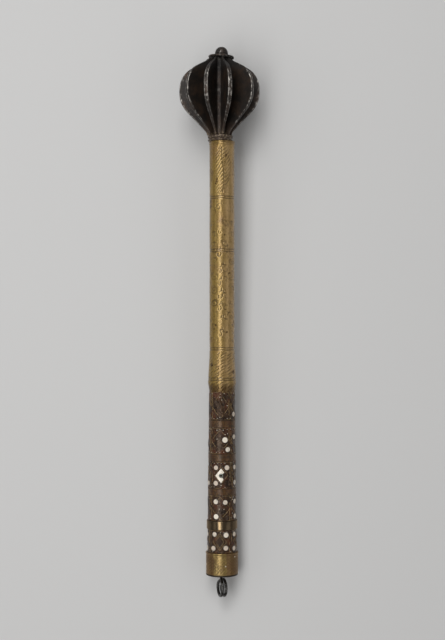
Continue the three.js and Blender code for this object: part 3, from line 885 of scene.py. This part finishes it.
lozengePlan = {
    "station": 116.6, "angle": -0.7, "wide": 6.9, "long": 8.4, "eye": 2.65, "sink": 0.75, "proud": 0.3,
    "pocketWide": 7.2, "pocketLong": 8.8, "pocketDepth": 0.7, "crease": 40,
    "washer": 2.5, "washerLift": 0.1, "washerAround": 24,
    "washerProfile": [(0.5, -0.5), (1.0, -0.5), (1.02, 0.1), (0.9, 0.2), (0.6, 0.2), (0.5, 0.1)],
}


def gripRadius(station):
    share = (np.asarray(station, float) - gripPlan["cap"]) / (gripPlan["top"] - gripPlan["cap"])
    return gripPlan["buttRadius"] + (gripPlan["topRadius"] - gripPlan["buttRadius"]) * share


def gripSections():  # start, end and middle angle of each stretch of veneer
    ends = [gripPlan["cap"]] + [v for band in gripPlan["bands"] for v in band] + [gripPlan["top"]]
    return [(ends[i], ends[i + 1], gripPlan["panelAngles"][i // 2]) for i in range(0, len(ends), 2)]


def fromSpot(angle, station, place, centre):  # millimetres over the veneer from one spot
    return np.hypot(np.radians(apart(angle, centre)) * gripRadius(station), station - place)


def inDiamond(angle, station, place, centre, wide, long):  # 0 at the middle, 1 on the edge
    across = np.abs(np.radians(apart(angle, centre)) * gripRadius(station))
    return across / wide + np.abs(station - place) / long


def inPocket(angle, station):
    plan = lozengePlan
    return inDiamond(angle, station, plan["station"], plan["angle"], plan["pocketWide"], plan["pocketLong"])


def makeGrip(plan):
    stations = np.arange(plan["start"], plan["end"], plan["spacing"])
    rings = np.stack([gripRadius(stations), stations], 1)
    profile = np.vstack([[[0, stations[0]]], rings, [[0, stations[-1]]]])
    uneven, ripple = waves(31, 12, 0.06), waves(32, 16, 0.16)
    beds = [disc[:3] for disc in pearlPlan["discs"]]

    def lift(angle, station):
        height = plan["rise"] * uneven(angle, station) + plan["rise"] * ripple(3 * angle, station)
        for place, centre, size in beds:  # level where a disc is bedded
            outside = fromSpot(angle, station, place, centre) - size - plan["bedMargin"]
            height *= unit(outside / plan["bedFade"])
        for low, high in plan["bands"]:
            height = np.where((station > low) & (station < high), -plan["bandInset"], height)
        for place, centre in plan["emptySockets"]:
            inside = plan["socketRadius"] + 0.3 - fromSpot(angle, station, place, centre)
            height -= plan["socketDepth"] * unit(inside / 0.6)
        return height - lozengePlan["pocketDepth"] * unit((1 - inPocket(angle, station)) / 0.06)

    def cementAndGapShade(angle, station):  # dark cement in sockets and pockets, and painted shade in a ring round the discs
        mark = 0.45 * unit((1.04 - inPocket(angle, station)) / 0.08)
        for place, centre in plan["emptySockets"]:
            inside = plan["socketRadius"] + 0.5 - fromSpot(angle, station, place, centre)
            mark = np.maximum(mark, 0.5 * unit(inside / 0.7))
        place, wide, long = plan["diamond"]
        for k in range(4):
            reach = inDiamond(angle, station, place, plan["panelAngles"][0] + 90 * k, wide, long)
            mark = np.maximum(mark, 0.6 * unit((1 - reach) / 0.12))
        # a ring of painted shade round each disc
        for place, centre, size in beds:
            inside = size + plan["cement"] - fromSpot(angle, station, place, centre)
            mark = np.maximum(mark, 0.9 * unit(inside / 0.5))
        return mark

    def rubAndShading(angle, station):  # painted highlight: two sections are paled in a streak along the top
        streak = unit(1.3 - np.abs(apart(angle, plan["paintedLightAngle"])) / 8)
        return streak * sum(unit(np.minimum(station - low, high - station)) for low, high in plan["rubbedAndLit"])

    mesh = turnedMesh("gripVeneer", profile, plan["around"], lift, {"cementAndGapShade": cementAndGapShade, "rubAndShading": rubAndShading})
    addPiece("gripVeneer", mesh, shell, "dark_shell", "grip_body")


makeGrip(gripPlan)
print("grip: veneered")

# Brass bands: one raised, with a painted highlight along the top and painted shade round the rest, three
# nearly flush and tarnished.
bandPlan = {
    "raised": {"rise": 1.15, "edge": 0.45}, "flush": {"rise": 0.14, "edge": 0.12}, "wall": 1.0, "around": 150,
    "shineAngle": -2.292, "shineHalf": 4.011, "shineFade": 6.875,
}


def makeBands(plan):
    for n, (low, high) in enumerate(gripPlan["bands"]):
        form = plan["raised" if n == 0 else "flush"]
        outer = float(gripRadius((low + high) / 2)) + form["rise"]
        inner = float(gripRadius(low)) - plan["wall"]
        edge = form["edge"]
        soft = 0.3 * edge
        ring = [(inner, low), (outer - edge, low), (outer - soft, low + soft), (outer, low + edge),
                (outer, high - edge), (outer - soft, high - soft), (outer - edge, high), (inner, high)]
        dent = waves(40 + n, 9, 0.12)
        grimy = lambda t, s: unit(0.9 - np.minimum(s - low, high - s) / 0.5)
        # shaded marks painted shade round the raised band outside a narrow painted highlight window
        shaded = lambda t, s: unit(
            (np.abs(apart(t, plan["shineAngle"])) - plan["shineHalf"]) / plan["shineFade"])
        dulled = lambda t, s: 0.45 + 0.3 * dent(2 * t, s)
        mesh = turnedMesh("gripBand", dense(ring, 0.8), plan["around"], lambda t, s: 0.05 * dent(t, s),
                          {"cut": grimy, "rubAndShading": shaded if n == 0 else dulled})
        finish = bandBrass if n == 0 else tarnish
        addPiece("gripBand%d" % (n + 1), mesh, finish, "aged_brass", "grip_band_%d" % (n + 1))


makeBands(bandPlan)
print("bands: fitted")

# End cap with a rolled lip and an engraved lattice.
capPlan = {
    "radius": 18.6, "lip": 0.45, "lipStart": 25.2, "top": 27.0, "seat": 17.3, "bevel": 0.9, "around": 220,
    "spacing": 0.5, "sideStart": 1.2, "cutDepth": 0.34, "lattice": 24, "latticeRows": (4.6, 22, 3.6),
    "lines": [2.9, 24.3],
}


def latticeStrokes(plan):
    strokes = []
    for n in range(plan["lattice"]):
        u = n * fullTurn * plan["radius"] / plan["lattice"]
        for v in np.arange(*plan["latticeRows"]):
            strokes += cutAs(0.85, 1.0, flick(u, v, 0.8, 4.2, 0.1))
            strokes += cutAs(0.85, 0.85, flick(u + 4.9, v + 1.7, math.pi - 0.8, 2.6, -0.1))
    return strokes


def makeCap(plan):
    r, lip, lipStart, top, seat = (plan[key] for key in ("radius", "lip", "lipStart", "top", "seat"))
    foot = [(0, 0), (r - plan["bevel"], 0), (r - 0.35, 0.2), (r - 0.08, 0.5), (r, plan["bevel"])]
    mouth = [(r, lipStart), (r + 0.3, lipStart + 0.25), (r + lip, top - 1.1), (r + lip, top - 0.5),
             (r + 0.2, top - 0.05), (seat, top), (seat, lipStart), (0, lipStart)]
    stations = np.arange(plan["sideStart"], lipStart, plan["spacing"])
    angles = ringAngles(plan["around"])
    worn, dent = waves(52, 9, 0.05), waves(51, 8, 0.04)
    cuts = cutDepth(latticeStrokes(plan), angles, stations, r)
    for line in plan["lines"]:
        cuts = np.maximum(cuts, unit(1 - np.abs(stations - line) / 0.55)[:, None])
    cuts *= np.clip(0.75 + 0.35 * worn(*np.meshgrid(angles, stations)), 0.2, 1)
    side = np.stack([np.full(len(stations), r), stations], 1)
    profile = np.vstack([dense(foot, 0.5), side, dense(mouth, 0.5)])

    def depth(angle, station):
        place = (station[:, 0] - stations[0]) / plan["spacing"]
        rows = np.clip(np.round(place).astype(int), 0, len(stations) - 1)
        onSide = (place > -0.02) & (place < len(stations) - 0.98)
        return cuts[rows] * onSide[:, None]

    def paintedEdgeShade(angle, station):  # painted shade: dark along the lower edge, faint over the flat end
        return unit((2.4 - station) / 0.6) * np.where(station > 0.05, 1, 0.25)

    def rubAndShading(angle, station):  # painted shade, ruddy, away from a painted highlight along the top
        return unit((0.95 - np.cos(angle + 0.08)) / 0.06 + 0.2 * worn(angle, station))

    mesh = turnedMesh("endCap", profile, plan["around"],
                      lambda t, s: 0.06 * dent(t, s) - plan["cutDepth"] * depth(t, s),
                      {"cut": depth, "paintedEdgeShade": paintedEdgeShade, "rubAndShading": rubAndShading})
    addPiece("endCap", mesh, brass, "aged_brass", "end_cap")


makeCap(capPlan)
print("cap: turned and engraved")

# Wires: brass lines laid in the grip and the iron loop, both drawn along their paths.
drawnScale = 260.0  # how close together the wire's unevenness lies


def makeWireTree():
    tree = PieceTree("wireAlongPath", {
        "Radius": "Float", "Sides": "Int", "Uneven": "Float", "Seed": "Float", "Finish": "Material"})
    path = tree.node("GeometryNodeMeshToCurve", {}, {"Mesh": tree.input("Geometry")})
    section = tree.node("GeometryNodeCurvePrimitiveCircle", {"mode": "RADIUS"}, {
        "Resolution": tree.input("Sides"), "Radius": tree.input("Radius")})
    tube = tree.node("GeometryNodeCurveToMesh", {}, {
        "Curve": path, "Profile Curve": section, "Fill Caps": True})
    rough = tree.roughen(tube, drawnScale)
    tree.close(tree.node("GeometryNodeSetShadeSmooth", {}, {"Geometry": rough}))
    return tree


def pathMesh(name, lines):  # polylines in mace millimetres as loose edges, each open or a ring
    points, edges = [], []
    for line, ring in lines:
        first = len(points)
        points.extend((np.asarray(line) / 1000).tolist())
        edges.extend((i, i + 1) for i in range(first, len(points) - 1))
        if ring:
            edges.append((len(points) - 1, first))
    mesh = bpy.data.meshes.new(name)
    mesh.from_pydata(points, edges, [])
    return mesh


# Diamonds are half width in degrees and half length, one for each section from the cap up.
wirePlan = {
    "radius": 0.33, "sink": 0.17, "sides": 6, "uneven": 0.2, "seed": 2.0, "ringStep": 4.0, "pairSpread": 5.2,
    "diamonds": [(28, 9.7), (42, 13.0), (29, 10.2), (42, 13.2), (42, 14.5)], "innerDiamond": (17, 7.1),
    "ringInset": 0.9, "pairInset": 1,
}


def onGrip(angle, station, lift):
    angle, station = np.radians(np.asarray(angle, float)), np.asarray(station, float)
    return placeOf(gripRadius(station) + lift, angle, station)


def gripLine(a, b, lift, count=14):
    share = np.linspace(0, 1, count)
    return onGrip(a[0] + (b[0] - a[0]) * share, a[1] + (b[1] - a[1]) * share, lift)


def diamondLines(centre, middle, wide, long, lift):
    left, right = (centre - wide, middle), (centre + wide, middle)
    corners = [left, (centre, middle + long), right, (centre, middle - long)]
    return [(gripLine(a, b, lift), False) for a, b in zip(corners, corners[1:] + corners[:1])]


def makeInlayPaths(plan):
    lines = []
    sink = -plan["sink"]
    for n, (low, high, centre) in enumerate(gripSections()):
        middle = 0.5 * (low + high)
        start, end = low + plan["pairInset"], high - plan["pairInset"]
        for edge in (low + plan["ringInset"], high - plan["ringInset"]):
            turn = np.arange(0, 360, plan["ringStep"])
            lines.append((onGrip(turn, np.full(len(turn), edge), sink), True))
        for c in centre + 90 * np.arange(4):
            for side in (c + 45 - plan["pairSpread"], c + 45 + plan["pairSpread"]):
                lines.append((gripLine((side, start), (side, end), sink), False))
            lines += diamondLines(c, middle, *plan["diamonds"][n], sink)
            if n == 0:
                lines += diamondLines(c, middle, *plan["innerDiamond"], sink)
    return pathMesh("inlayPaths", lines)


wireTree = makeWireTree()


def drawWire(name, paths, plan, finish):
    return wireTree.grow(name, paths, {
        "Radius": plan["radius"] / 1000, "Sides": plan["sides"], "Uneven": plan["uneven"] / 1000,
        "Seed": plan["seed"], "Finish": finish})


seatPiece(drawWire("inlayWires", makeInlayPaths(wirePlan), wirePlan, brassLine), "aged_brass")
print("grip lines: laid in")

loopPlan = {
    "radius": 1.7, "sides": 22, "uneven": 0.4, "seed": 7.0, "ring": 9.3, "spacing": 4.2, "centre": -15.2,
    "turn": 20.5, "points": 300,
}


def makeLoopPath(plan):  # out of the cap, round one turn, across and round the other
    ring, gap, centre = plan["ring"], plan["spacing"], plan["centre"]
    path = [(0, 7.5, 0), (0, 3, 0), (0, -1.4, 0), (1.6, -3.5, -0.35 * gap), (4.3, -5.9, -0.47 * gap)]
    stops = [(turn, -0.5) for turn in range(40, -201, -20)]
    stops += [(-220, -0.28), (-240, 0.12)] + [(turn, 0.5) for turn in range(-260, -546, -19)]
    for turn, side in stops:
        a = math.radians(turn)
        path.append((ring * math.cos(a), centre + ring * math.sin(a), side * gap))
    line = smoothLine(path, plan["points"])
    a = math.radians(plan["turn"])
    across = np.array([math.sin(a), 0, math.cos(a)])
    beside = np.array([math.cos(a), 0, -math.sin(a)])
    along = np.array([0, 1, 0])
    return pathMesh("loopPath", [(line[:, :1] * across + line[:, 1:2] * along + line[:, 2:] * beside, False)])


seatPiece(drawWire("buttLoop", makeLoopPath(loopPlan), loopPlan, iron), "dark_iron", "butt_loop")
print("loop: drawn in two turns")


# Pearl discs, nails and the washer: one small form each, set on listed spots by a tree.
def makeSettingTree():
    tree = PieceTree("formsOnSpots", {"Form": "Object", "Finish": "Material"})
    facing = tree.named("facing", "FLOAT_VECTOR")
    turn = tree.node("FunctionNodeAlignRotationToVector", {"axis": "Y"}, {"Vector": facing})
    tree.close(tree.node("GeometryNodeInstanceOnPoints", {}, {
        "Points": tree.input("Geometry"), "Instance": tree.form(), "Rotation": turn,
        "Scale": tree.named("size")}))
    return tree


def spotMesh(name, spots):  # station, angle, size, radius and tone
    stations, angles, sizes, radii, tones = np.array(spots, float).T
    turns = np.radians(angles)
    mesh = bpy.data.meshes.new(name)
    mesh.from_pydata((placeOf(radii, turns, stations) / 1000).tolist(), [], [])
    addField(mesh, "facing", placeOf(1, turns, 0), "FLOAT_VECTOR")
    addField(mesh, "size", sizes)
    addField(mesh, "tone", tones)
    return mesh


settingTree = makeSettingTree()


def setForms(name, formMesh, spots, finish, slotName, *nodes):
    form = newObject(name + "Form", formMesh)
    piece = settingTree.grow(name, spotMesh(name, spots), {"Form": form, "Finish": finish})
    bpy.data.objects.remove(form)
    seatPiece(piece, slotName, *nodes)


def gripSpot(station, angle, size, tone=0.5):  # one spot on the veneer
    return station, angle, size, float(gripRadius(station)), tone


def makeDiscs(plan):
    profile = dense([(0, -plan["sink"]), (1.0, -plan["sink"]), (1.0, 0.03), (0.96, 0.065), (0.9, 0.08),
                     (0.6, 0.1), (0.3, 0.11), (0, 0.115)], 0.12)
    form = turnedMesh("pearlDisc", profile, plan["around"], None, {
        "rim": lambda t, s: unit((0.09 - s) / 0.022)})
    spots = [gripSpot(*disc) for disc in plan["discs"]]
    nodes = ["pearl_%02d" % (i + 1) for i in range(len(spots))]
    setForms("pearlDiscs", form, spots, pearl, "mother_of_pearl", *nodes)


makeDiscs(pearlPlan)

# Nails as station and angle. Pins run along the edges of each section, many of them lost.
nailPlan = {
    "size": 0.62, "capSize": 0.8, "pinSize": 0.44, "pinStep": 15, "pinInset": 2.3, "pinsLeft": 0.4, "seed": 5,
    "around": 14,
    "grip": [
        (207.0, -6.8), (203.7, 2.1), (197.1, 26.0), (183.8, -6.4), (158.7, -18.3), (105.4, -0.6),
        (77.8, -8.0), (78.1, 10.5), (88.9, 50.1), (51.4, -3.2), (168.9, -19.1), (169.0, 8.5), (164.0, 16.3),
        (165.0, 27.1), (73.1, 48.4), (78, 93), (78, 183), (78, -97), (116.6, 92), (116.6, 182),
        (116.6, -88), (156.8, 88), (156.8, -92), (156.8, 178), (51.0, 87), (51.0, -93), (51.0, 177),
        (196, 88), (196, -92), (196, 178),
    ],
    "cap": [(12.6, 15.9), (22.7, 55.4), (12.6, 105.9), (12.6, -74), (12.6, -164)],
    "profile": [(0, -1.2), (0.7, -1.2), (0.9, -0.1), (1.0, 0.1), (0.85, 0.4), (0.5, 0.62), (0, 0.7)],
}


def rowsOfPins(plan):
    dice = np.random.default_rng(plan["seed"])
    pins = []
    for low, high, centre in gripSections():
        for edge in (low + plan["pinInset"], high - plan["pinInset"]):
            for angle in np.arange(0, 360, plan["pinStep"]) + centre:
                if dice.random() < plan["pinsLeft"]:
                    pins.append((edge + dice.uniform(-0.4, 0.4), angle + dice.uniform(-2, 2)))
    return pins


def makeNails(plan):
    profile = dense(plan["profile"], 0.4)
    form = turnedMesh("nailHead", profile, plan["around"], None, {"cut": lambda t, s: 0 * s})
    spots = [gripSpot(*place, plan["size"]) for place in plan["grip"]]
    spots += [gripSpot(*place, plan["pinSize"]) for place in rowsOfPins(plan)]
    spots += [(station, angle, plan["capSize"], capPlan["radius"], 0.5) for station, angle in plan["cap"]]
    setForms("nailHeads", form, spots, palePin, "aged_brass")


makeNails(nailPlan)
print("pearl discs and nails: set")


# The broken lozenge, curved to the grip, and the washer left in its eye.
def makeLozenge(plan):
    turns = np.radians(np.arange(310, 49, -13))
    eye = [(plan["eye"] * math.cos(a), plan["eye"] * math.sin(a)) for a in turns]
    outline = [(0, -plan["long"]), (1.4, -6.3), (2.2, -5.4), (2.5, -4.2), (1.9, -3.0)] + eye
    outline += [(1.9, 2.4), (3.0, 3.1), (3.6, 3.7), (2.2, 5.7), (0, plan["long"]), (-plan["wide"], 0)]
    work = bmesh.new()
    face = work.faces.new([work.verts.new((u, v, 0)) for u, v in outline])
    face.normal_update()
    bmesh.ops.triangulate(work, faces=[face])
    bmesh.ops.subdivide_edges(work, edges=work.edges[:], cuts=3, use_grid_fill=True)
    bmesh.ops.triangulate(work, faces=work.faces[:])
    top = bmesh.ops.extrude_face_region(work, geom=work.faces[:])
    raised = {v for v in top["geom"] if isinstance(v, bmesh.types.BMVert)}
    radius = float(gripRadius(plan["station"]))
    for v in work.verts:
        lift = plan["proud"] if v in raised else -plan["sink"]
        angle = math.radians(plan["angle"]) + v.co.x / radius
        v.co = Vector(placeOf(radius + lift, np.float64(angle), plan["station"] + v.co.y)) / 1000
    mesh = bpy.data.meshes.new("pearlLozenge")
    work.to_mesh(mesh)
    work.free()
    for label, value in (("rim", 0.0), ("tone", 1.0)):
        addField(mesh, label, np.full(len(mesh.vertices), value))
    turnOut(mesh)
    mesh.set_sharp_from_angle(angle=math.radians(plan["crease"]))
    addPiece("pearlLozenge", mesh, pearl, "mother_of_pearl", "pearl_lozenge")
    spot = (plan["station"], plan["angle"], plan["washer"], radius + plan["washerLift"], 0.5)
    washer = turnedMesh("washer", plan["washerProfile"], plan["washerAround"])
    setForms("eyeWasher", washer, [spot], washerGrey, "dark_iron")


makeLozenge(lozengePlan)
print("lozenge: set, broken corner left open")

# Floor, light and world. Lamps are name, place, size and watts.
stagePlan = {
    "floor": (0.548, 0.545, 0.54), "fleck": (0.5, 0.5, 0.5), "reach": 6, "world": 0.25,
    "sky": (1.0, 0.995, 0.99, 1),
    "lamps": [
        ("strip", (-0.47, 0.0, 1.52), (0.62, 2.9), 18.8), ("side", (-1.2, 0.0, 0.9), (0.5, 2.6), 2.4),
        ("headLamp", (-0.14, 1.6, 2.0), (1.0, 1.0), 17.0), ("fill", (1.2, -0.4, 0.95), (0.8, 2.4), 3.0),
    ],
}


def makeLamp(name, spot, size, power):
    data = bpy.data.lights.new(name, "AREA")
    data.shape = "RECTANGLE"
    data.size, data.size_y = size
    data.energy = power
    lamp = newObject(name, data)
    lamp.location = spot
    away = Vector(spot).normalized()  # faces the mace's middle, its long side along the mace
    side = Vector((0, 1, 0)).cross(away).normalized()
    lamp.rotation_euler = Matrix((side, away.cross(side), away)).transposed().to_euler()


def makeStage(plan):
    f = Finish("paleFloor")
    tone = f.layers(plan, "floor", ("fleck", f.noise(40, 3, 0.5) * 0.08))
    reach = plan["reach"]
    mesh = bpy.data.meshes.new("floor")
    mesh.from_pydata([(-reach, -reach, 0), (reach, -reach, 0), (reach, reach, 0), (-reach, reach, 0)],
                     [], [(0, 1, 2, 3)])
    mesh.materials.append(f.surface({"Base Color": tone, "Roughness": 0.85, "Specular IOR Level": 0.2}))
    floor = newObject("floor", mesh)
    world = bpy.data.worlds.new("studio")
    world.use_nodes = True
    background = world.node_tree.nodes["Background"].inputs
    background[0].default_value = plan["sky"]
    background[1].default_value = plan["world"]
    bpy.context.scene.world = world
    bpy.context.scene.view_settings.view_transform = "Standard"
    for lamp in plan["lamps"]:
        makeLamp(*lamp)


makeStage(stagePlan)
print("stage: lit")
